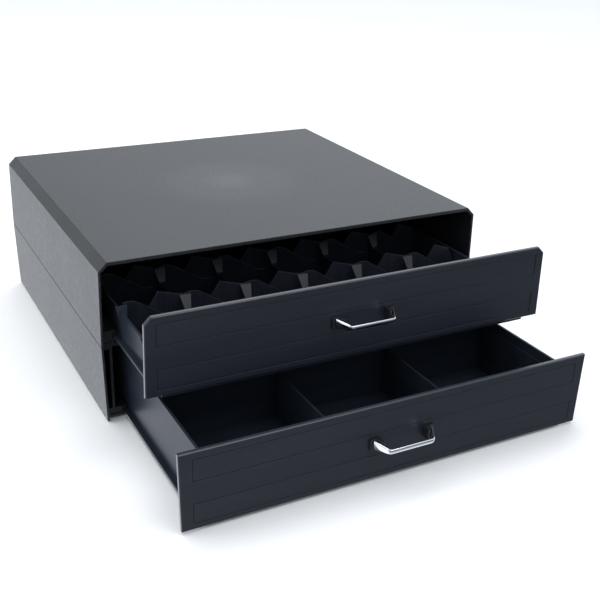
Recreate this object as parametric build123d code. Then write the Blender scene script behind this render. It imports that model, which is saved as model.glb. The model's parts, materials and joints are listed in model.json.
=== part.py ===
from build123d import *
import os

# Two-drawer countertop storage box in moulded black plastic.
# X runs to the right as seen from the front, Y into the depth, Z up. Millimetres.
# Both drawers stand part open: that is the rest position of their slides.

# driving dimensions: casing
seam_half = 175.0
top_half = 173.8
base_half = 173.4
depth = 316.0
foot_height = 1.0
lower_height = 65.8
total_height = 136.3
side_wall = 1.9
back_wall = 2.5
top_plate = 3.0
base_plate = 2.5
edge_chamfer = 7.0
seam_groove = 0.4

# driving dimensions: drawers
front_thickness = 3.5
front_height = 61.5
line_inset = 7.8
front_gap = 0.4
upper_open = 98.5
lower_open = 160.1
drawer_travel = 220.0
box_wall = 2.2
slide_gap = 0.4

# levels worked out from the casing
base_z = foot_height
seam_z = base_z + lower_height
top_z = base_z + total_height
floor_z = base_z + base_plate
ceiling_z = top_z - top_plate

# mid shelf between the two bays
shelf_bottom = seam_z - 2.2
shelf_top = seam_z + 1.4
shelf_half = seam_half - side_wall - 0.5
shelf_front = front_thickness + 0.7

# upper drawer
upper_half = 159.6
upper_bottom = shelf_top + 0.8
upper_floor = upper_bottom + 2.0
upper_rim = 97.0
upper_front_z = ceiling_z - front_gap - front_height
upper_y = -upper_open

# lower drawer
lower_half = 154.6
lower_bottom = floor_z + 0.3
lower_floor = lower_bottom + 2.2
lower_rim = 56.0
lower_ledge_z = 48.0
lower_ledge = 1.2
lower_length = 305.0
lower_front_z = base_z + 1.0
lower_y = -lower_open

# slide flanges and their rails
flange_reach = 4.0
flange_height = 2.5
rail_start = 5.0
rail_end = depth - back_wall - 1.5
rail_outer = 172.2
stop_length = 8.0
stop_gap = 0.4
lug_reach = 1.8
slot_play = 0.6
lip_play = 0.8
lip_thickness = 2.8
channel_floor = 3.4

# capsule rack in the upper drawer: capsules lie on their sides across the row walls
rack_columns = 6
rack_rows = 5
column_pitch = 2 * (upper_half - box_wall) / rack_columns
row_pitch = 60.0
first_row = 33.0
rack_wall = 1.8
row_thickness = 2 * rack_wall
rack_lap_z = 78.0
column_wall_z = 88.0
row_low_z = 84.2
tab_foot_z = 76.0
ramp_top_z = 100.5
ramp_foot_z = 90.3
ramp_top_width = 10.0
ramp_foot_width = 5.6
ramp_run = 6.0
upper_length = 2 * box_wall + rack_rows * row_pitch

# bins in the lower drawer
bin_wall = 1.8
bin_height = 47.3
bin_lap_z = 27.0

# handles
grip_half = 18.4
grip_reach = 15.0
grip_end_half = 24.2
grip_end_reach = 2.8
grip_thickness = 2.2
grip_height = 4.4
grip_end_height = 8.4
handle_foot_height = 9.0
handle_foot_inner = 18.8
handle_foot_outer = 27.4
handle_foot_reach = 8.0
handle_screw_x = 20.9
handle_screw_depth = 3.2
upper_handle_z = upper_front_z + 0.5 * front_height
lower_handle_z = lower_front_z + 0.5 * front_height

# screws
screw_radius = 1.45
pilot_radius = 1.5
clear_radius = 1.65
head_radius = 2.8
head_height = 1.8
front_screw_x = (-131.0, -40.0, 40.0, 131.0)
upper_screw_z = 84.0
lower_screw_z = 20.0
rail_screw_y = (60.0, 256.0)

# the origin stands under the middle of the box that holds everything at rest
front_reach = lower_open + grip_reach + grip_thickness / 2
centre_y = (depth - front_reach) / 2

os.makedirs("parts", exist_ok=True)


def save(name, shape):
    """Write one sub-part, moved so that the origin is the middle of the footprint."""
    placed = Pos(0, -centre_y, 0) * shape
    placed.label = name
    export_step(placed, f"parts/{name}.step")


def block(x0, x1, y0, y1, z0, z1):
    size = Box(x1 - x0, y1 - y0, z1 - z0)
    return Pos((x0 + x1) / 2, (y0 + y1) / 2, (z0 + z1) / 2) * size


def profile_along_y(points, y0, y1):
    """A closed outline of (x, z) points, extruded from y0 to y1."""
    outline = Polyline(*[(x, y0, z) for x, z in points], close=True)
    return extrude(make_face(outline), amount=y1 - y0, dir=(0, 1, 0))


def profile_up(points, z0, z1):
    """A closed outline of (x, y) points, extruded from z0 to z1."""
    outline = Polyline(*[(x, y, z0) for x, y in points], close=True)
    return extrude(make_face(outline), amount=z1 - z0, dir=(0, 0, 1))


def post(x, y, z0, z1, radius):
    return Pos(x, y, (z0 + z1) / 2) * Cylinder(radius, z1 - z0)


def pin_along_y(x, z, y0, y1, radius):
    return Pos(x, (y0 + y1) / 2, z) * Rot(90, 0, 0) * Cylinder(radius, y1 - y0)


def mirrored(points):
    """Complete a right-hand outline with its left-hand half."""
    return points + [(-x, z) for x, z in reversed(points)]


def half_width(z):
    """Half the casing's outer width: widest at the seam, drafted to both ends."""
    if z > seam_z:
        return seam_half + (top_half - seam_half) * (z - seam_z) / (top_z - seam_z)
    return base_half + (seam_half - base_half) * (z - base_z) / (seam_z - base_z)


# casing

def upper_shell():
    chamfer_z = top_z - edge_chamfer
    outside = mirrored([
        (seam_half, seam_z),
        (half_width(chamfer_z), chamfer_z),
        (top_half - edge_chamfer, top_z),
    ])
    # the inside follows the bevel one wall thickness in
    bevel_line = half_width(chamfer_z) + chamfer_z - 1.41 * back_wall
    inner_side = top_half - side_wall
    inside = mirrored([
        (seam_half - side_wall, seam_z - 1),
        (inner_side, bevel_line - inner_side),
        (bevel_line - ceiling_z, ceiling_z),
    ])
    shell = profile_along_y(outside, 0, depth)
    shell -= profile_along_y(inside, -1, depth - back_wall)
    # a shadow line round the outside marks the joint between the shells
    groove_top = seam_z + seam_groove
    shell -= block(seam_half - 0.7, seam_half + 1, -1, depth + 1, seam_z - 1, groove_top)
    shell -= block(-seam_half - 1, -seam_half + 0.7, -1, depth + 1, seam_z - 1, groove_top)
    shell -= block(-seam_half - 1, seam_half + 1, depth - 0.7, depth + 1, seam_z - 1, groove_top)
    return shell


def lower_shell():
    outside = mirrored([(base_half, base_z), (seam_half, seam_z)])
    inside = mirrored([(base_half - side_wall, floor_z), (seam_half - side_wall, seam_z + 1)])
    shell = profile_along_y(outside, 0, depth)
    shell -= profile_along_y(inside, -1, depth - back_wall)
    # the closed lower front stands before the base plate, between the side walls
    rebate = base_half - side_wall
    shell -= block(-rebate, rebate, -1, shelf_front, base_z - 1, floor_z + 1)
    for x, y in foot_places():
        shell -= post(x, y, base_z - 1, base_z + foot_height, 9.2)
    for x, y in base_screw_places():
        shell -= post(x, y, base_z - 1, floor_z + 1, clear_radius)
        shell -= Pos(x, y, base_z + 0.75) * Cone(3.4, clear_radius, 1.5)
    return shell


def foot_places():
    return [(x, y) for x in (-140, 140) for y in (35, depth - 30)]


def base_screw_places():
    return [(x, y) for x in (-165.2, 165.2) for y in rail_screw_y]


def shelf_screw_places():
    return [(x, y) for x in (-169.6, 169.6) for y in rail_screw_y]


def rubber_feet():
    return Compound([post(x, y, 0, base_z + foot_height - 0.1, 9.0) for x, y in foot_places()])


def mid_shelf():
    shelf = block(-shelf_half, shelf_half, shelf_front, depth - back_wall - 0.4, shelf_bottom, shelf_top)
    for x, y in shelf_screw_places():
        shelf -= post(x, y, shelf_bottom - 1, shelf_top + 1, clear_radius)
    return shelf


def lower_rail(side):
    """Rail on the base: it holds down the drawer's flange and carries the mid shelf."""
    slot_top = lower_bottom + flange_height + slide_gap
    stop_side = lower_half + flange_reach + slot_play
    slot_side = stop_side + lug_reach
    lip = lower_half + lip_play
    lip_top = slot_top + lip_thickness
    web_inner = 165.0
    web_outer = web_inner + 2.4
    shelf_seat = shelf_bottom - 0.1
    section = [
        (slot_side, floor_z + 0.1),
        (slot_side, slot_top),
        (lip, slot_top),
        (lip, lip_top),
        (web_inner, lip_top),
        (web_inner, shelf_seat),
        (rail_outer - 0.4, shelf_seat),
        (rail_outer - 0.4, shelf_seat - 2.3),
        (web_outer, shelf_seat - 2.3),
        (web_outer, lip_top),
        (rail_outer - 1.0, lip_top),
        (rail_outer - 1.0, floor_z + 0.1),
    ]
    rail = profile_along_y(section, rail_start, rail_end)
    rail += block(stop_side, slot_side, rail_start, rail_start + stop_length, floor_z + 0.1, slot_top)
    for x, y in base_screw_places():
        if x > 0:
            rail -= post(x, y, floor_z, slot_top + 2.0, pilot_radius)
    for x, y in shelf_screw_places():
        if x > 0:
            rail -= post(x, y, shelf_bottom - 3, shelf_bottom, pilot_radius)
    return rail if side > 0 else mirror(rail, Plane.YZ)


def upper_rail(side):
    """Channel on the mid shelf that the upper drawer's flange runs in."""
    bottom = shelf_top + 0.1
    slot_bottom = bottom + channel_floor
    slot_top = slot_bottom + flange_height + 2 * slide_gap
    top = slot_top + lip_thickness
    lip = upper_half + lip_play
    stop_side = upper_half + flange_reach + slot_play
    slot_side = stop_side + lug_reach
    section = [
        (rail_outer, bottom),
        (lip, bottom),
        (lip, slot_bottom),
        (slot_side, slot_bottom),
        (slot_side, slot_top),
        (lip, slot_top),
        (lip, top),
        (rail_outer, top),
    ]
    rail = profile_along_y(section, rail_start, rail_end)
    rail += block(stop_side, slot_side, rail_start, rail_start + stop_length, slot_bottom, slot_top)
    for x, y in shelf_screw_places():
        if x > 0:
            rail -= post(x, y, bottom - 1, top + 1, clear_radius)
    return rail if side > 0 else mirror(rail, Plane.YZ)


def base_screws():
    """Countersunk screws from below, through the base plate into the lower rails."""
    screws = []
    for x, y in base_screw_places():
        shank = post(x, y, base_z + 0.2, lower_bottom + flange_height + 2.0, screw_radius)
        head = Pos(x, y, base_z + 0.75) * Cone(3.2, screw_radius, 1.3)
        drive = post(x, y, base_z, base_z + 0.8, 1.2)
        screws.append(shank + head - drive)
    return Compound(screws)


def shelf_screws():
    """Pan-head screws through the upper rails and the mid shelf into the lower rails."""
    top = shelf_top + 0.1 + channel_floor + flange_height + 2 * slide_gap + lip_thickness
    screws = []
    for x, y in shelf_screw_places():
        shank = post(x, y, shelf_bottom - 4, top + 0.5, screw_radius)
        head = post(x, y, top + 0.05, top + 0.05 + head_height, 2.4)
        drive = post(x, y, top + 1.0, top + 3, 1.2)
        screws.append(shank + head - drive)
    return Compound(screws)


# drawer fronts and handles

def engraved(front, half, y, z0):
    """Cut the two line frames into a front: one in its top band, one in its bottom band."""
    line = 0.9
    cut_depth = 0.5
    for top_part, bottom_part in ((0.09, 0.376), (0.656, 0.926)):
        frame_top = z0 + front_height * (1 - top_part)
        frame_bottom = z0 + front_height * (1 - bottom_part)
        outer = block(-half, half, y - 1, y + cut_depth, frame_bottom, frame_top)
        inner = block(-half + line, half - line, y - 1, y + cut_depth, frame_bottom + line, frame_top - line)
        front -= outer - inner
    return front


def bored_front(front, y, screw_z, handle_z):
    """Pilot holes for the front screws and through holes for the handle screws."""
    back = y + front_thickness
    for x in front_screw_x:
        front -= pin_along_y(x, screw_z, back - 2.6, back + 1, pilot_radius)
    for x in (-handle_screw_x, handle_screw_x):
        front -= pin_along_y(x, handle_z, y - 1, back + 1, clear_radius)
    return front


def front_panel(outline, y):
    """A panel with its front edges bevelled."""
    panel = profile_along_y(outline, y, y + front_thickness)
    front_edges = panel.faces().sort_by(Axis.Y)[0].edges()
    return chamfer(front_edges, 0.8)


def upper_drawer_front():
    z0 = upper_front_z
    z1 = z0 + front_height
    low = half_width(z0) - side_wall - front_gap
    high = half_width(z1) - side_wall - front_gap
    bevel = 5.4
    panel = front_panel(mirrored([(low, z0), (high, z1 - bevel), (high - bevel, z1)]), upper_y)
    panel = engraved(panel, high - line_inset, upper_y, z0)
    return bored_front(panel, upper_y, upper_screw_z, upper_handle_z)


def lower_drawer_front():
    z0 = lower_front_z
    z1 = z0 + front_height
    low = half_width(z0) - side_wall - front_gap
    high = half_width(z1) - side_wall - front_gap
    panel = front_panel(mirrored([(low, z0), (high, z1)]), lower_y)
    panel = engraved(panel, low - line_inset, lower_y, z0)
    return bored_front(panel, lower_y, lower_screw_z, lower_handle_z)


def grip_slant():
    """Direction across the grip's slanting ends, as (x, reach)."""
    sideways = grip_end_half - grip_half
    inwards = grip_reach - grip_end_reach
    length = (sideways ** 2 + inwards ** 2) ** 0.5
    return inwards / length, sideways / length


def handle_bar(y, z):
    """Bar bent back at both ends, where it grows taller to meet its feet."""
    half = grip_thickness / 2
    across_x, across_reach = grip_slant()
    corner = half * (1 - across_reach) / across_x
    right = [
        (grip_half + corner, grip_reach + half),
        (grip_end_half + half * across_x, grip_end_reach + half * across_reach),
        (grip_end_half - half * across_x, grip_end_reach - half * across_reach),
        (grip_half - corner, grip_reach - half),
    ]
    left = [(-x, reach) for x, reach in reversed(right)]
    outline = [(x, y - reach) for x, reach in right + left]
    low = z - grip_end_height / 2
    high = z + grip_end_height / 2
    bar = profile_up(outline, low, high)
    bends = bar.edges().filter_by(Axis.Z).sort_by(Axis.Y)[:2]
    bar = fillet(bends, 2.0)
    waist = grip_height / 2
    end = grip_end_half + half
    over_bar = mirrored([(grip_half, z + waist), (end, high), (end, high + 1)])
    under_bar = [(x, 2 * z - level) for x, level in over_bar]
    reach_all = y - grip_reach - 2 * grip_thickness
    bar -= profile_along_y(over_bar, reach_all, y)
    bar -= profile_along_y(under_bar, reach_all, y)
    return bar


def handle_foot(y, z, side):
    """Bracket behind one slanting end of the bar."""
    across_x, across_reach = grip_slant()
    contact = across_x * grip_end_half + across_reach * grip_end_reach - grip_thickness / 2 - 0.03
    heel = 2.2
    heel_x = (contact - across_reach * heel) / across_x
    tip_x = (contact - across_reach * handle_foot_reach) / across_x
    outline = [
        (handle_foot_inner, y),
        (handle_foot_outer, y),
        (handle_foot_outer, y - heel),
        (heel_x, y - heel),
        (tip_x, y - handle_foot_reach),
        (handle_foot_inner, y - handle_foot_reach),
    ]
    foot = profile_up(outline, z - handle_foot_height / 2, z + handle_foot_height / 2)
    foot -= pin_along_y(handle_screw_x, z, y - handle_screw_depth - 0.2, y + 1, pilot_radius)
    return foot if side > 0 else mirror(foot, Plane.YZ)


def handle_screws(y, z, behind):
    """Screws from inside the drawer, through the front into the handle's feet."""
    screws = []
    for x in (-handle_screw_x, handle_screw_x):
        shank = pin_along_y(x, z, y - handle_screw_depth, behind + 0.5, screw_radius)
        head = pin_along_y(x, z, behind + 0.05, behind + 0.05 + head_height, head_radius)
        drive = pin_along_y(x, z, behind + 1.0, behind + 3, 1.2)
        screws.append(shank + head - drive)
    return Compound(screws)


def front_screws(y, z):
    """Screws from inside the drawer box into the back of its front."""
    back = y + front_thickness
    inside = back + box_wall + 0.05
    screws = []
    for x in front_screw_x:
        shank = pin_along_y(x, z, back - 2.4, inside + 0.5, screw_radius)
        head = pin_along_y(x, z, inside, inside + head_height, head_radius)
        drive = pin_along_y(x, z, inside + 1.0, inside + 3, 1.2)
        screws.append(shank + head - drive)
    return Compound(screws)


# upper drawer

upper_box_y = upper_y + front_thickness
rack_y = upper_box_y + box_wall
boundary_x = [column_pitch * (i - rack_columns / 2) for i in range(rack_columns + 1)]
row_wall_y = [rack_y + first_row + row_pitch * i for i in range(rack_rows)]


def flanges(half, y, length, z, lug_y):
    """Slide flanges along both sides, each with the lug that meets the rail's stop."""
    pair = []
    for side in (-1, 1):
        inner = half - 0.5
        outer = half + flange_reach
        strip = block(inner, outer, y, y + length, z, z + flange_height)
        lug = block(outer - 0.5, outer + lug_reach, lug_y, lug_y + stop_length, z, z + flange_height)
        piece = strip + lug
        pair.append(piece if side > 0 else mirror(piece, Plane.YZ))
    return pair


def ramp(x, wall_front):
    """Tapered ramp that leans on a row wall where a column wall meets it."""
    top = ramp_top_width / 2
    foot = ramp_foot_width / 2
    low = column_wall_z - 0.5
    back_face = Polyline(
        (x - foot, wall_front, low),
        (x + foot, wall_front, low),
        (x + top, wall_front, ramp_top_z),
        (x - top, wall_front, ramp_top_z),
        close=True,
    )
    nose = wall_front - ramp_run
    front_face = Polyline(
        (x - foot + 0.4, nose, low),
        (x + foot - 0.4, nose, low),
        (x + foot, nose, ramp_foot_z),
        (x - foot, nose, ramp_foot_z),
        close=True,
    )
    return loft([make_face(back_face), make_face(front_face)])


def upper_drawer_box():
    y0 = upper_box_y
    y1 = y0 + upper_length
    box = block(-upper_half, upper_half, y0, y1, upper_bottom, upper_rim)
    inner = upper_half - box_wall
    box -= block(-inner, inner, y0 + box_wall, y1 - box_wall, upper_floor, upper_rim + 1)
    lug_y = upper_y + rail_start + stop_length + drawer_travel + stop_gap
    flange_z = shelf_top + 0.1 + channel_floor + slide_gap
    for strip in flanges(upper_half, y0, y1 - y0, flange_z, lug_y):
        box += strip
    # the left side wall carries the first column's ramps
    for wall_y in row_wall_y:
        box += ramp(boundary_x[0], wall_y)
    for x in front_screw_x:
        box -= pin_along_y(x, upper_screw_z, y0 - 1, y0 + box_wall + 1, clear_radius)
    return box


def row_wall_outline():
    """Front layer of a row wall: a hump that falls away to the right of each column."""
    end = boundary_x[-1] - 0.3
    top = []
    for x in boundary_x[:-1]:
        start = max(x - 6.0, -end)
        top += [
            (start, row_low_z),
            (start + 1.2, 99.5),
            (x + 1.5, 101.6),
            (x + 5.5, 102.4),
            (x + 10.9, 101.9),
            (x + 18.2, 97.4),
            (x + 38.4, row_low_z),
        ]
    return [(-end, upper_floor + 0.1)] + top + [(end, row_low_z), (end, upper_floor + 0.1)]


def row_wall_tab(x, right_side):
    """Rear layer of a row wall: a tab that rises to the left of a column."""
    left_side = [
        (right_side[-1][0], tab_foot_z),
        (x - 35.6, tab_foot_z),
        (x - 35.6, row_low_z),
        (x - 29.5, 94.1),
        (x - 21.8, 105.9),
    ]
    return left_side + right_side


def rack_row_walls():
    end = boundary_x[-1] - 0.3
    walls = []
    for y in row_wall_y:
        middle = y + rack_wall
        rear = y + row_thickness - 0.15
        wall = profile_along_y(row_wall_outline(), y + 0.15, middle)
        for x in boundary_x[1:-1]:
            wall += profile_along_y(row_wall_tab(x, [(x - 5.5, 101.0), (x + 4.0, 98.9)]), middle, rear)
        wall += profile_along_y(row_wall_tab(end, [(end - 7.3, 100.8), (end, 88.4)]), middle, rear)
        for x in boundary_x[1:-1]:
            slot = rack_wall / 2 + 0.2
            wall -= block(x - slot, x + slot, y - 1, rear + 1, upper_floor - 1, rack_lap_z + 0.2)
        walls.append(wall)
    return Compound(walls)


def rack_column_wall(x):
    y0 = rack_y + 0.2
    y1 = rack_y + rack_rows * row_pitch - 0.2
    half = rack_wall / 2
    wall = block(x - half, x + half, y0, y1, upper_floor + 0.1, column_wall_z)
    for y in row_wall_y:
        wall += ramp(x, y)
        wall -= block(x - 6, x + 6, y, y + row_thickness + 0.05, rack_lap_z, ramp_top_z + 1)
    return wall


# lower drawer

lower_box_y = lower_y + front_thickness
lower_wall = box_wall + lower_ledge
bin_x = (lower_half - lower_wall) / 3
bin_length = (lower_length - 2 * lower_wall) / 3
bin_y = [lower_box_y + lower_wall + bin_length * i for i in (1, 2)]


def lower_drawer_box():
    y0 = lower_box_y
    y1 = y0 + lower_length
    box = block(-lower_half, lower_half, y0, y1, lower_bottom, lower_rim)
    inner = lower_half - box_wall
    box -= block(-inner, inner, y0 + box_wall, y1 - box_wall, lower_ledge_z, lower_rim + 1)
    inner = lower_half - lower_wall
    box -= block(-inner, inner, y0 + lower_wall, y1 - lower_wall, lower_floor, lower_ledge_z + 1)
    lug_y = lower_y + rail_start + stop_length + drawer_travel + stop_gap
    for strip in flanges(lower_half, y0, lower_length, lower_bottom, lug_y):
        box += strip
    for x in front_screw_x:
        box -= pin_along_y(x, lower_screw_z, y0 - 1, y0 + lower_wall + 1, clear_radius)
        box -= pin_along_y(x, lower_screw_z, y0 + box_wall, y0 + lower_wall + 1, head_radius + 0.3)
    for x in (-handle_screw_x, handle_screw_x):
        box -= pin_along_y(x, lower_handle_z, y0 - 1, y0 + lower_wall + 1, clear_radius)
        box -= pin_along_y(x, lower_handle_z, y0 + box_wall, y0 + lower_wall + 1, head_radius + 0.3)
    return box


def bin_column_wall(side):
    """Long divider, open from above where the cross dividers drop in."""
    x = side * bin_x
    half = bin_wall / 2
    y0 = lower_box_y + lower_wall + 0.2
    y1 = lower_box_y + lower_length - lower_wall - 0.2
    wall = block(x - half, x + half, y0, y1, lower_floor + 0.1, bin_height)
    for y in bin_y:
        slot = half + 0.2
        wall -= block(x - 2, x + 2, y - slot, y + slot, bin_lap_z, bin_height + 1)
    return wall


def bin_row_wall(y):
    """Cross divider, open from below where it sits on the long dividers."""
    half = bin_wall / 2
    end = lower_half - lower_wall - 0.2
    wall = block(-end, end, y - half, y + half, lower_floor + 0.1, bin_height)
    for x in (-bin_x, bin_x):
        slot = half + 0.2
        wall -= block(x - slot, x + slot, y - 2, y + 2, lower_floor - 1, bin_lap_z + 0.2)
    return wall


# write every sub-part

save("upper_shell", upper_shell())
save("lower_shell", lower_shell())
save("mid_shelf", mid_shelf())
save("rubber_feet", rubber_feet())
save("base_screws", base_screws())
save("shelf_screws", shelf_screws())

for side_name, side in (("left", -1), ("right", 1)):
    save(f"lower_rail_{side_name}", lower_rail(side))
    save(f"upper_rail_{side_name}", upper_rail(side))
    save(f"upper_handle_foot_{side_name}", handle_foot(upper_y, upper_handle_z, side))
    save(f"lower_handle_foot_{side_name}", handle_foot(lower_y, lower_handle_z, side))
    save(f"bin_wall_{side_name}", bin_column_wall(side))

save("upper_drawer_front", upper_drawer_front())
save("upper_drawer_box", upper_drawer_box())
save("upper_front_screws", front_screws(upper_y, upper_screw_z))
save("upper_handle_bar", handle_bar(upper_y, upper_handle_z))
save("upper_handle_screws", handle_screws(upper_y, upper_handle_z, upper_box_y))
save("rack_row_walls", rack_row_walls())
for number, x in enumerate(boundary_x[1:-1], 1):
    save(f"rack_column_wall_{number}", rack_column_wall(x))

save("lower_drawer_front", lower_drawer_front())
save("lower_drawer_box", lower_drawer_box())
save("lower_front_screws", front_screws(lower_y, lower_screw_z))
save("lower_handle_bar", handle_bar(lower_y, lower_handle_z))
save("lower_handle_screws", handle_screws(lower_y, lower_handle_z, lower_box_y + box_wall))
save("bin_wall_front", bin_row_wall(bin_y[0]))
save("bin_wall_rear", bin_row_wall(bin_y[1]))
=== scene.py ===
import bpy
import bmesh
import json
import math
from mathutils import Matrix, Vector


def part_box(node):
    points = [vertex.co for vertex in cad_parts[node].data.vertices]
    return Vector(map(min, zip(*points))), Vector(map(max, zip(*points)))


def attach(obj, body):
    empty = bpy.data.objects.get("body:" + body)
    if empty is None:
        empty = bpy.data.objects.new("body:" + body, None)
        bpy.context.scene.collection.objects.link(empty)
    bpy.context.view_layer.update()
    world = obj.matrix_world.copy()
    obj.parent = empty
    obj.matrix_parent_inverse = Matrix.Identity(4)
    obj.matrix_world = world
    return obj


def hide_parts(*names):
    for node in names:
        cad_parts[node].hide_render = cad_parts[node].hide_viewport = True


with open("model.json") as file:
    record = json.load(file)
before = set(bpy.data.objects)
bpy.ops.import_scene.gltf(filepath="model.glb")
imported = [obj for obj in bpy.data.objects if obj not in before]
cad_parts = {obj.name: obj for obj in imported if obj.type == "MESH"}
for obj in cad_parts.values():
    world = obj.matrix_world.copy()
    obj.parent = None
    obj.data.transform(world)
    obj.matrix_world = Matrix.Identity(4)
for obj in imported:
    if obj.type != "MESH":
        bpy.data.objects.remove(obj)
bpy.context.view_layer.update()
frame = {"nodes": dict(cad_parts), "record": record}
mm = 0.001
mergeGap = 0.002 * mm

bodyOf = {}
for bodyName, members in frame["record"]["behaviour"]["bodies"].items():
    for member in members:
        bodyOf[member] = bodyName
slotOf = {part["node"]: part["material_slot"] for part in frame["record"]["subparts"]}

casingLow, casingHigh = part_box("upper_shell")
casingMiddle = Vector((0, (casingLow.y + casingHigh.y) / 2, casingHigh.z))
print("frame loaded,", len(bodyOf), "nodes")


view = {
    "place": (-0.3468, -0.7168, 0.4035),
    "look": (0.4298, 0.8060, -0.4069),
    "roll": 1.74,   # degrees
    "lens": 56.7,
}


def aimed(place, direction, roll=0.0):
    turn = Vector(direction).to_track_quat("-Z", "Y").to_matrix().to_4x4()
    return Matrix.Translation(place) @ turn @ Matrix.Rotation(math.radians(roll), 4, "Z")


def setCamera():
    data = bpy.data.cameras.new("camera")
    data.lens = view["lens"]
    data.sensor_width = 36.0
    data.clip_start = 0.01
    camera = bpy.data.objects.new("camera", data)
    camera.matrix_world = aimed(view["place"], view["look"], view["roll"])
    bpy.context.scene.collection.objects.link(camera)
    bpy.context.scene.camera = camera


setCamera()
print("camera set")


# a Wire is a shader socket that plain arithmetic works on

class Wire:
    def __init__(self, tree, socket=None):
        self.tree = tree
        self.socket = socket

    def make(self, kind, settings, inputs, output=0):
        node = self.tree.nodes.new("ShaderNode" + kind)
        for name, value in settings.items():
            setattr(node, name, value)
        for name, value in inputs.items():
            if isinstance(value, Wire):
                self.tree.links.new(value.socket, node.inputs[name])
            else:
                node.inputs[name].default_value = value
        return Wire(self.tree, node.outputs[output])

    def math(self, operation, first, second):
        return self.make("Math", {"operation": operation}, {0: first, 1: second})

    def __add__(self, other):
        return self.math("ADD", self, other)

    def __radd__(self, other):
        return self.math("ADD", other, self)

    def __sub__(self, other):
        return self.math("SUBTRACT", self, other)

    def __rsub__(self, other):
        return self.math("SUBTRACT", other, self)

    def __mul__(self, other):
        return self.math("MULTIPLY", self, other)

    def __rmul__(self, other):
        return self.math("MULTIPLY", other, self)

    def __abs__(self):
        return self.math("ABSOLUTE", self, 0.0)

    def ease(self, low, high):
        # smooth step from 0 at low to 1 at high, either way round
        return self.make("MapRange", {"interpolation_type": "SMOOTHSTEP"},
                         {"Value": self, "From Min": low, "From Max": high})

    def blend(self, first, second):
        # colour from first to second as this wire goes from 0 to 1
        colors = {6: first, 7: second}
        padded = {key: (*color, 1) if isinstance(color, tuple) else color
                  for key, color in colors.items()}
        return self.make("Mix", {"data_type": "RGBA"}, {0: self, **padded}, output=2)


def place(wire, stretch=(1, 1, 1)):
    spot = wire.make("TexCoord", {}, {}, output="Object")
    return wire.make("Mapping", {}, {"Vector": spot, "Scale": stretch})


def cloud(wire, spot, size, detail=2.0, rough=0.5):
    # soft noise with blobs of about the given size, in metres
    return wire.make("TexNoise", {}, {"Vector": spot, "Scale": 1 / size, "Detail": detail,
                                      "Roughness": rough})


def newMaterial(name, recipe):
    made = bpy.data.materials.new(name)
    made.use_nodes = True
    made.node_tree.nodes.clear()
    surface = recipe(Wire(made.node_tree))
    end = made.node_tree.nodes.new("ShaderNodeOutputMaterial")
    made.node_tree.links.new(surface.socket, end.inputs["Surface"])
    return made


# pieces

def meshObject(name, shape, look):
    mesh = bpy.data.meshes.new(name)
    shape.to_mesh(mesh)
    shape.free()
    mesh.materials.append(look)
    thing = bpy.data.objects.new(name, mesh)
    bpy.context.scene.collection.objects.link(thing)
    return thing


def standIn(name, shape, node):
    # a finished piece that takes the place of a CAD node
    piece = meshObject(name, shape, finishOf[slotOf[node]])
    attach(piece, bodyOf[node])
    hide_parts(node)
    return piece


def nodeShape(node):
    shape = bmesh.new()
    shape.from_mesh(frame["nodes"][node].data)
    bmesh.ops.remove_doubles(shape, verts=shape.verts, dist=0.005 * mm)
    return shape


def islands(node):
    # lowest and highest corner of each loose part of a node
    shape = nodeShape(node)
    left = set(shape.verts)
    boxes = []
    while left:
        group = {left.pop()}
        waiting = list(group)
        while waiting:
            vert = waiting.pop()
            near = {link.other_vert(vert) for link in vert.link_edges} - group
            group |= near
            waiting += near
        left -= group
        low = Vector([min(vert.co[axis] for vert in group) for axis in range(3)])
        high = Vector([max(vert.co[axis] for vert in group) for axis in range(3)])
        boxes.append((low, high))
    shape.free()
    return sorted(boxes, key=lambda pair: tuple(pair[0]))


def lathed(outline, steps):
    # spin (radius, height) points round Z, closed at both poles
    shape = bmesh.new()
    points = [shape.verts.new((radius, 0, height)) for radius, height in outline]
    chain = [shape.edges.new(pair) for pair in zip(points, points[1:])]
    bmesh.ops.spin(shape, geom=points + chain, axis=(0, 0, 1), cent=(0, 0, 0),
                   angle=math.tau, steps=steps, use_merge=True)
    bmesh.ops.remove_doubles(shape, verts=shape.verts, dist=0.001 * mm)
    bmesh.ops.recalc_face_normals(shape, faces=shape.faces)
    return shape


def joined(shapes):
    whole = bmesh.new()
    for shape in shapes:
        step = bpy.data.meshes.new("step")
        shape.to_mesh(step)
        shape.free()
        whole.from_mesh(step)
        bpy.data.meshes.remove(step)
    return whole


# studio: pale floor, soft lights, and a room whose light changes with direction

studio = {
    "floorSize": 8.0,
    "floorColor": (0.95, 0.95, 0.95),
    "floorShade": 0.985,          # the floor's faint clouding
    "tint": (0.90, 0.945, 1.0),   # the room's light is slightly cool
    # how much of the light is missing in each part of the room
    "lowFront": 0.80,
    "hood": 0.42,
    "leftBack": 0.98,
    "lowBack": 0.60,
    # and how much more comes from behind
    "sideGlow": 1.08,
    "backGlow": 1.0,
    # middles of the parts, as a height or a direction
    "lowFrontHeight": -0.38,
    "lowBackHeight": 0.17,
    "leftBackSide": (-0.30, 0.90, 0.31),
    "sideGlowSide": (-0.50, 0.80, -0.33),
    "backGlowSide": (0.50, 0.68, 0.54),
    "lights": (
        # name, place, size, watts
        ("topLight", (-0.5, 0.5, 1.9), (1.6, 1.2), 15),
        ("leftLight", (-1.9, 0.3, 0.8), (1.2, 0.9), 5),
        ("frontLight", (0.5, -1.3, 1.9), (1.2, 0.7), 9),
    ),
}


def facing(wire, way, direction):
    # 1 towards the direction, 0 across it
    return wire.make("VectorMath", {"operation": "DOT_PRODUCT"}, {0: way, 1: direction}, output="Value")


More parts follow.
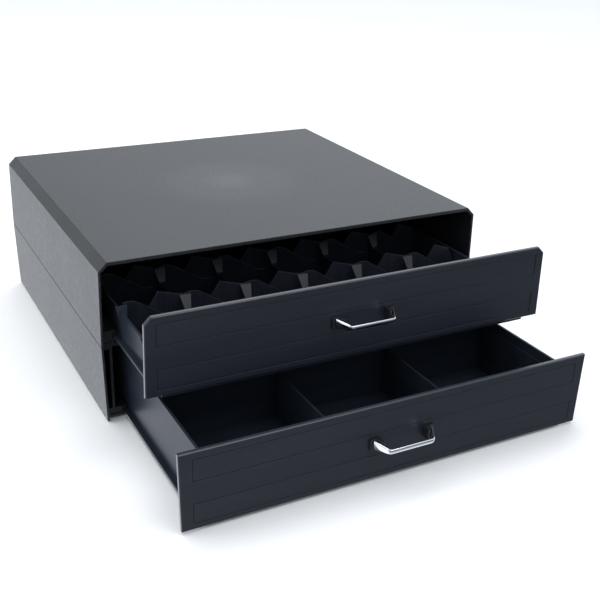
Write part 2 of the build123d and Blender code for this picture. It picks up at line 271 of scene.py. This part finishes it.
def roomLight(wire):
    way = wire.make("TexCoord", {}, {}, output="Generated")
    depth = facing(wire, way, (0, 1, 0))
    height = facing(wire, way, (0, 0, 1))
    lowFront = abs(height - studio["lowFrontHeight"]).ease(0.30, 0.16) * depth.ease(-0.25, -0.6)
    hood = height.ease(0.62, 0.40) * depth.ease(0.0, -0.4)
    leftBack = facing(wire, way, studio["leftBackSide"]).ease(0.84, 0.97)
    lowBack = abs(height - studio["lowBackHeight"]).ease(0.28, 0.12) * depth.ease(0.3, 0.8)
    sideGlow = facing(wire, way, studio["sideGlowSide"]).ease(0.45, 0.97)
    backGlow = facing(wire, way, studio["backGlowSide"]).ease(0.80, 0.98)
    shade = (1 - lowFront * studio["lowFront"]) * (1 - hood * studio["hood"])
    shade = shade * (1 - leftBack * studio["leftBack"]) * (1 - lowBack * studio["lowBack"])
    return shade + sideGlow * studio["sideGlow"] + backGlow * studio["backGlow"]


def floorPaper(wire):
    soft = cloud(wire, place(wire), 0.4)
    shaded = tuple(studio["floorShade"] * part for part in studio["floorColor"])
    color = soft.blend(studio["floorColor"], shaded)
    return wire.make("BsdfPrincipled", {}, {"Base Color": color, "Roughness": 0.9})


def setStudio():
    scene = bpy.context.scene
    scene.view_settings.view_transform = "Standard"
    # the camera itself sees plain white
    world = bpy.data.worlds.new("room")
    world.use_nodes = True
    sky = world.node_tree.nodes["Background"]
    wire = Wire(world.node_tree)
    seen = wire.make("LightPath", {}, {}, output="Is Camera Ray")
    level = roomLight(wire) * (1 - seen) + seen
    world.node_tree.links.new(level.socket, sky.inputs["Strength"])
    color = seen.blend(studio["tint"], (1, 1, 1))
    world.node_tree.links.new(color.socket, sky.inputs["Color"])
    scene.world = world

    for name, spot, size, watts in studio["lights"]:
        data = bpy.data.lights.new(name, "AREA")
        data.shape = "RECTANGLE"
        data.size, data.size_y = size
        data.energy = watts
        light = bpy.data.objects.new(name, data)
        light.matrix_world = aimed(spot, casingMiddle - Vector(spot))
        scene.collection.objects.link(light)

    shape = bmesh.new()
    bmesh.ops.create_grid(shape, x_segments=2, y_segments=2, size=studio["floorSize"] / 2)
    floor = meshObject("floor", shape, newMaterial("floorPaper", floorPaper))
    floor.visible_glossy = False


setStudio()
print("studio set")


# finishes

casing = {
    "deep": (0.010, 0.0115, 0.014),
    "pale": (0.042, 0.046, 0.051),
    "roughness": 0.45,
    "grainSize": 0.5 * mm,
    "grainDepth": 0.05 * mm,
    "mottleSize": 3.2 * mm,
    "gateReach": 0.085,
}


def casingPlastic(wire):
    # fine moulded grain, slow clouding, and a faint flow mark round the gate in the top's middle
    spot = place(wire)
    grain = cloud(wire, spot, casing["grainSize"], detail=3.0, rough=0.6)
    mottle = cloud(wire, spot, casing["mottleSize"], detail=3.0, rough=0.7)
    drift = cloud(wire, spot, 0.06, detail=3.0)
    fromGate = wire.make("VectorMath", {"operation": "DISTANCE"}, {0: spot, 1: casingMiddle},
                         output="Value")
    gate = fromGate.ease(casing["gateReach"], 0.0)
    ring = abs(fromGate - 0.03).ease(0.02, 0.0)
    tone = mottle * 0.5 + drift * 0.35 + gate * 0.15 + grain * 0.15 - ring * 0.1
    color = tone.ease(0.3, 0.85).blend(casing["deep"], casing["pale"])
    roughness = casing["roughness"] + drift * 0.08 - gate * 0.06 + (mottle - 0.5) * 0.3
    bump = wire.make("Bump", {}, {"Strength": 0.6, "Distance": casing["grainDepth"],
                                  "Height": grain + mottle * 1.5})
    return wire.make("BsdfPrincipled", {}, {"Base Color": color, "Roughness": roughness,
                                            "Normal": bump, "IOR": 1.5})


satin = {
    "deep": (0.0135, 0.0165, 0.0250),
    "pale": (0.0205, 0.0240, 0.0350),
    "roughness": 0.30,
    "grainSize": 0.35 * mm,
    "grainDepth": 0.012 * mm,
}


def satinPlastic(wire):
    # smoother blue-black plastic of the drawers, with slight flow streaks along its length
    streak = cloud(wire, place(wire, (0.15, 1, 1)), 0.02, detail=4.0, rough=0.6)
    grain = cloud(wire, place(wire), satin["grainSize"])
    color = streak.ease(0.25, 0.75).blend((0.015, 0.020, 0.029), (0.023, 0.029, 0.040))
    roughness = satin["roughness"] + streak * 0.1
    bump = wire.make("Bump", {}, {"Strength": 0.5, "Distance": satin["grainDepth"], "Height": grain})
    return wire.make("BsdfPrincipled", {}, {"Base Color": color, "Roughness": roughness,
                                            "Normal": bump, "Specular IOR Level": 0.05})


def frontPlastic(wire):
    # drawer fronts: the same satin plastic, a touch glossier, with rare fine handling marks
    streak = cloud(wire, place(wire, (0.12, 1, 1)), 0.018, detail=5.0, rough=0.65)
    grain = cloud(wire, place(wire), satin["grainSize"])
    mark = cloud(wire, place(wire, (1, 1, 0.08)), 1.2 * mm, detail=3.0).ease(0.70, 0.78)
    color = (streak.ease(0.1, 0.9) * 0.85 + mark * 0.15).blend(satin["deep"], satin["pale"])
    roughness = satin["roughness"] - 0.02 + streak * 0.04 + mark * 0.05
    bump = wire.make("Bump", {}, {"Strength": 0.5, "Distance": satin["grainDepth"], "Height": grain})
    return wire.make("BsdfPrincipled", {}, {"Base Color": color, "Roughness": roughness,
                                            "Normal": bump, "IOR": 1.5})


def innerPlastic(wire):
    # plain black plastic of the rails and the shelf, slightly scuffed where parts slide
    scuff = cloud(wire, place(wire, (1, 0.05, 1)), 1.5 * mm).ease(0.62, 0.74)
    color = (scuff * 0.5).blend((0.010, 0.011, 0.013), (0.045, 0.046, 0.048))
    return wire.make("BsdfPrincipled", {}, {"Base Color": color, "Roughness": 0.42 + scuff * 0.1,
                                            "IOR": 1.5})


def rackPlastic(wire):
    # rack walls: satin plastic with faint upright draw marks from the mould
    draw = cloud(wire, place(wire, (1, 1, 0.06)), 1.6 * mm, detail=3.0)
    color = draw.ease(0.3, 0.75).blend((0.010, 0.012, 0.019), (0.017, 0.020, 0.030))
    bump = wire.make("Bump", {}, {"Strength": 0.3, "Distance": 0.02 * mm, "Height": draw})
    return wire.make("BsdfPrincipled", {}, {"Base Color": color, "Roughness": 0.34 + draw * 0.1,
                                            "Normal": bump, "IOR": 1.5})


def handlePlastic(wire):
    grain = cloud(wire, place(wire), 0.3 * mm)
    color = grain.blend((0.009, 0.010, 0.013), (0.018, 0.019, 0.024))
    bump = wire.make("Bump", {}, {"Strength": 0.4, "Distance": 0.01 * mm, "Height": grain})
    return wire.make("BsdfPrincipled", {}, {"Base Color": color, "Roughness": 0.34, "Normal": bump})


def chromePlate(wire):
    haze = cloud(wire, place(wire), 4 * mm, detail=3.0)
    color = haze.blend((0.79, 0.81, 0.86), (0.87, 0.88, 0.92))
    return wire.make("BsdfPrincipled", {}, {"Base Color": color, "Metallic": 1.0,
                                            "Roughness": 0.07 + haze * 0.05})


def zincSteel(wire):
    spangle = cloud(wire, place(wire), 0.8 * mm)
    color = spangle.blend((0.42, 0.43, 0.45), (0.62, 0.62, 0.63))
    return wire.make("BsdfPrincipled", {}, {"Base Color": color, "Metallic": 1.0,
                                            "Roughness": 0.28 + spangle * 0.15})


def padRubber(wire):
    speck = cloud(wire, place(wire), 0.5 * mm, detail=3.0)
    color = speck.blend((0.018, 0.018, 0.018), (0.04, 0.04, 0.04))
    bump = wire.make("Bump", {}, {"Strength": 0.6, "Distance": 0.03 * mm, "Height": speck})
    return wire.make("BsdfPrincipled", {}, {"Base Color": color, "Roughness": 0.8, "Normal": bump})


finishOf = {
    "casing_plastic": newMaterial("casingPlastic", casingPlastic),
    "inner_plastic": newMaterial("innerPlastic", innerPlastic),
    "drawer_plastic": newMaterial("drawerPlastic", satinPlastic),
    "front_plastic": newMaterial("frontPlastic", frontPlastic),
    "rack_plastic": newMaterial("rackPlastic", rackPlastic),
    "handle_plastic": newMaterial("handlePlastic", handlePlastic),
    "handle_chrome": newMaterial("chromePlate", chromePlate),
    "screw_steel": newMaterial("zincSteel", zincSteel),
    "feet_rubber": newMaterial("padRubber", padRubber),
}
for node, thing in frame["nodes"].items():
    thing.data.materials.clear()
    thing.data.materials.append(finishOf[slotOf[node]])
print("finishes made:", len(finishOf))


# moulded parts: the CAD solids with their outer edges rounded

moulded = {
    "shortest": 2.0 * mm,   # edges shorter than this stay as they are
    "sharp": 25,            # degrees
    "flat": 0.5,            # degrees; faces closer to flat than this are one face
    "rounding": {
        "upper_shell": 0.35, "lower_shell": 0.35, "mid_shelf": 0.3,
        "lower_rail_left": 0.25, "lower_rail_right": 0.25,
        "upper_rail_left": 0.25, "upper_rail_right": 0.25,
        "upper_drawer_box": 0.35, "lower_drawer_box": 0.35,
        "upper_drawer_front": 0.22, "lower_drawer_front": 0.22,
        "rack_row_walls": 0.3, "rack_column_wall_1": 0.3, "rack_column_wall_2": 0.3,
        "rack_column_wall_3": 0.3, "rack_column_wall_4": 0.3, "rack_column_wall_5": 0.3,
        "bin_wall_left": 0.4, "bin_wall_right": 0.4, "bin_wall_front": 0.4, "bin_wall_rear": 0.4,
        "upper_handle_foot_left": 0.5, "upper_handle_foot_right": 0.5,
        "lower_handle_foot_left": 0.5, "lower_handle_foot_right": 0.5,
    },
}


def roundedShape(node, rounding):
    shape = nodeShape(node)
    bmesh.ops.dissolve_limit(shape, angle_limit=math.radians(moulded["flat"]), verts=shape.verts,
                             edges=shape.edges)
    sharp = math.radians(moulded["sharp"])
    outer = [edge for edge in shape.edges
             if edge.is_convex and edge.calc_face_angle(0) > sharp
             and edge.calc_length() > moulded["shortest"]]
    bmesh.ops.bevel(shape, geom=outer, offset=rounding, offset_type="OFFSET", segments=2,
                    profile=0.5, affect="EDGES", material=-1)
    for face in shape.faces:
        face.smooth = False
    return shape


for node, rounding in moulded["rounding"].items():
    standIn(node + "_soft", roundedShape(node, rounding * mm), node)
print("moulded parts:", len(moulded["rounding"]))


# handles: a bright bar, oval in section, bent back and growing taller at both ends

grip = {
    "half": 18.4 * mm,
    "reach": 15.0 * mm,
    "endHalf": 24.2 * mm,
    "endReach": 2.8 * mm,
    "thickness": 2.2 * mm,
    "lean": 0.25,           # how far the bar's top stands out past its bottom
    "height": 4.4 * mm,
    "endHeight": 8.4 * mm,
    "bendRadius": 2.6 * mm,
    "sectionSteps": 24,
    "bendSteps": 8,
    "sharp": 50,            # degrees
}


def movedFace(shape, face, shift):
    # extrude one face along a vector and return the new end face
    made = bmesh.ops.extrude_face_region(shape, geom=[face])["geom"]
    fresh = [part for part in made if isinstance(part, bmesh.types.BMVert)]
    bmesh.ops.translate(shape, verts=fresh, vec=shift)
    bmesh.ops.delete(shape, geom=[face], context="FACES_ONLY")
    return next(part for part in made if isinstance(part, bmesh.types.BMFace))


def bentFace(shape, face, centre, angle):
    # swing one face round an upright axis and return the new end face
    made = bmesh.ops.spin(shape, geom=[face], axis=(0, 0, 1), cent=centre, angle=angle,
                          steps=grip["bendSteps"], use_merge=False)["geom_last"]
    return next(part for part in made if isinstance(part, bmesh.types.BMFace))


def gripShape(frontY, middleZ):
    sideways = grip["endHalf"] - grip["half"]
    inwards = grip["reach"] - grip["endReach"]
    length = math.hypot(sideways, inwards)
    bend = math.atan2(inwards, sideways)
    trim = grip["bendRadius"] * math.tan(bend / 2)
    start = Vector((-grip["endHalf"], -grip["endReach"], 0))
    along = Vector((sideways, -inwards, 0)) / length

    shape = bmesh.new()
    bmesh.ops.create_circle(shape, cap_ends=True, segments=grip["sectionSteps"], radius=1.0)
    bmesh.ops.scale(shape, vec=(grip["thickness"] / 2, grip["height"] / 2, 1), verts=shape.verts)
    for vert in shape.verts:
        vert.co.x -= grip["lean"] * vert.co.y
    # the section stands across the first slanting stretch
    turn = Matrix((
        (-along.y, 0, along.x, 0),
        (along.x, 0, along.y, 0),
        (0, 1, 0, 0),
        (0, 0, 0, 1),
    ))
    bmesh.ops.transform(shape, matrix=Matrix.Translation(start) @ turn, verts=shape.verts)
    cap = shape.faces[:][0]

    face = movedFace(shape, cap, along * (length - trim))
    bendY = -grip["reach"] + grip["bendRadius"]
    face = bentFace(shape, face, (-grip["half"] + trim, bendY, 0), bend)
    face = movedFace(shape, face, Vector((2 * (grip["half"] - trim), 0, 0)))
    face = bentFace(shape, face, (grip["half"] - trim, bendY, 0), bend)
    movedFace(shape, face, Vector((along.x, -along.y, 0)) * (length - trim))

    bmesh.ops.remove_doubles(shape, verts=shape.verts, dist=mergeGap)
    inside = [part for part in shape.faces if len(part.verts) == grip["sectionSteps"]]
    bmesh.ops.delete(shape, geom=inside, context="FACES_ONLY")
    ends = [edge for edge in shape.edges if edge.is_boundary]
    bmesh.ops.holes_fill(shape, edges=ends, sides=0)
    bmesh.ops.recalc_face_normals(shape, faces=shape.faces)
    growth = grip["endHeight"] / grip["height"] - 1
    for vert in shape.verts:
        past = max(0.0, abs(vert.co.x) - grip["half"]) / sideways
        vert.co.z *= 1 + growth * min(past, 1.0)
    bmesh.ops.translate(shape, verts=shape.verts, vec=(0, frontY, middleZ))
    return shape


def setHandles():
    for side in ("upper", "lower"):
        barLow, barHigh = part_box(side + "_handle_bar")
        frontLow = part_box(side + "_drawer_front")[0]
        shape = gripShape(frontLow.y, (barLow.z + barHigh.z) / 2)
        bar = standIn(side + "_handle_grip", shape, side + "_handle_bar")
        bar.data.shade_smooth()
        bar.data.set_sharp_from_angle(angle=math.radians(grip["sharp"]))


setHandles()
print("handles made")


# screws: pan or sunk heads with a cross recess

screw = {
    "shank": 1.45 * mm,
    "recessArm": 1.25 * mm,
    "recessWidth": 0.62 * mm,
    "recessDepth": 0.9 * mm,
    "recessTaper": 0.75,
    "crossCorners": 12,
    "steps": 24,
    "sets": (
        # node, way out of the head, sunk, height of the head
        ("base_screws", (0, 0, -1), True, 1.4 * mm),
        ("shelf_screws", (0, 0, 1), False, 1.8 * mm),
        ("upper_front_screws", (0, 1, 0), False, 1.8 * mm),
        ("lower_front_screws", (0, 1, 0), False, 1.8 * mm),
        ("upper_handle_screws", (0, 1, 0), False, 1.8 * mm),
        ("lower_handle_screws", (0, 1, 0), False, 1.8 * mm),
    ),
}


def screwShape(radius, length, sunk, headHeight):
    # head's crown at height 0, tip at minus length
    shank = screw["shank"]
    lip = 0.25 * mm
    if sunk:
        outline = [(radius * 0.97, 0), (radius, -0.1 * mm), (shank, -headHeight)]
    else:
        outline = [(radius * 0.72, 0), (radius * 0.93, -lip), (radius, -2.4 * lip),
                   (radius, -headHeight), (shank, -headHeight)]
    outline += [(shank, -length + shank), (0.3 * shank, -length), (0, -length)]
    body = lathed(outline, screw["steps"])

    # the crown runs from the head's rim in to a cross, which is then pushed down
    crown = bmesh.new()
    bmesh.ops.create_circle(crown, segments=screw["steps"], radius=outline[0][0])
    outer = crown.edges[:]
    bmesh.ops.create_circle(crown, segments=screw["crossCorners"], radius=screw["recessArm"],
                            cap_ends=True)
    cross = crown.faces[:][0]
    bmesh.ops.rotate(crown, verts=cross.verts, matrix=Matrix.Rotation(math.radians(15), 3, "Z"))
    for vert in cross.verts:
        angle = math.atan2(vert.co.y, vert.co.x)
        quarter = round(angle / (math.pi / 2)) * math.pi / 2
        offset = angle - quarter
        half = screw["recessWidth"] / 2
        far = half if abs(offset) > math.radians(40) else screw["recessArm"]
        side = half if offset > 0 else -half
        vert.co = Matrix.Rotation(quarter, 3, "Z") @ Vector((far, side, 0))
    inner = [edge for edge in crown.edges if edge not in outer]
    bmesh.ops.bridge_loops(crown, edges=outer + inner)
    well = bmesh.ops.extrude_face_region(crown, geom=[cross])["geom"]
    bmesh.ops.delete(crown, geom=[cross], context="FACES_ONLY")
    deep = [part for part in well if isinstance(part, bmesh.types.BMVert)]
    bmesh.ops.scale(crown, vec=(screw["recessTaper"], screw["recessTaper"], 1), verts=deep)
    bmesh.ops.translate(crown, verts=deep, vec=(0, 0, -screw["recessDepth"]))
    whole = joined([body, crown])
    bmesh.ops.remove_doubles(whole, verts=whole.verts, dist=mergeGap)
    bmesh.ops.recalc_face_normals(whole, faces=whole.faces)
    return whole


def setScrews():
    for node, way, sunk, headHeight in screw["sets"]:
        out = Vector(way)
        axis = max(range(3), key=lambda index: abs(out[index]))
        shapes = []
        for low, high in islands(node):
            middle = (low + high) / 2
            length = high[axis] - low[axis]
            radius = (high[(axis + 1) % 3] - low[(axis + 1) % 3]) / 2
            shape = screwShape(radius, length, sunk, headHeight)
            turn = out.to_track_quat("Z", "Y").to_matrix().to_4x4()
            spot = Matrix.Translation(middle + out * length / 2)
            bmesh.ops.transform(shape, matrix=spot @ turn, verts=shape.verts)
            shapes.append(shape)
        standIn(node + "_crossed", joined(shapes), node)
    print("screw sets:", len(screw["sets"]))


setScrews()


# feet: rubber pads with a rounded rim and two shallow rings underneath

foot = {
    "rim": 0.5 * mm,
    "ringDepth": 0.25 * mm,
    "ringWidth": 0.7 * mm,
    "rings": (4.6 * mm, 2.2 * mm),
    "steps": 48,
}


def setFeet():
    shapes = []
    for low, high in islands("rubber_feet"):
        middle = (low + high) / 2
        radius = (high.x - low.x) / 2
        rim = foot["rim"]
        outline = [(0, high.z), (radius, high.z), (radius, low.z + rim),
                   (radius - 0.3 * rim, low.z + 0.3 * rim), (radius - rim, low.z)]
        for ring in foot["rings"]:
            half = foot["ringWidth"] / 2
            outline += [(ring + half, low.z), (ring + half / 2, low.z + foot["ringDepth"]),
                        (ring - half / 2, low.z + foot["ringDepth"]), (ring - half, low.z)]
        outline.append((0, low.z))
        shape = lathed(outline, foot["steps"])
        bmesh.ops.translate(shape, verts=shape.verts, vec=(middle.x, middle.y, 0))
        shapes.append(shape)
    standIn("rubber_feet_ringed", joined(shapes), "rubber_feet")


setFeet()
print("feet made")
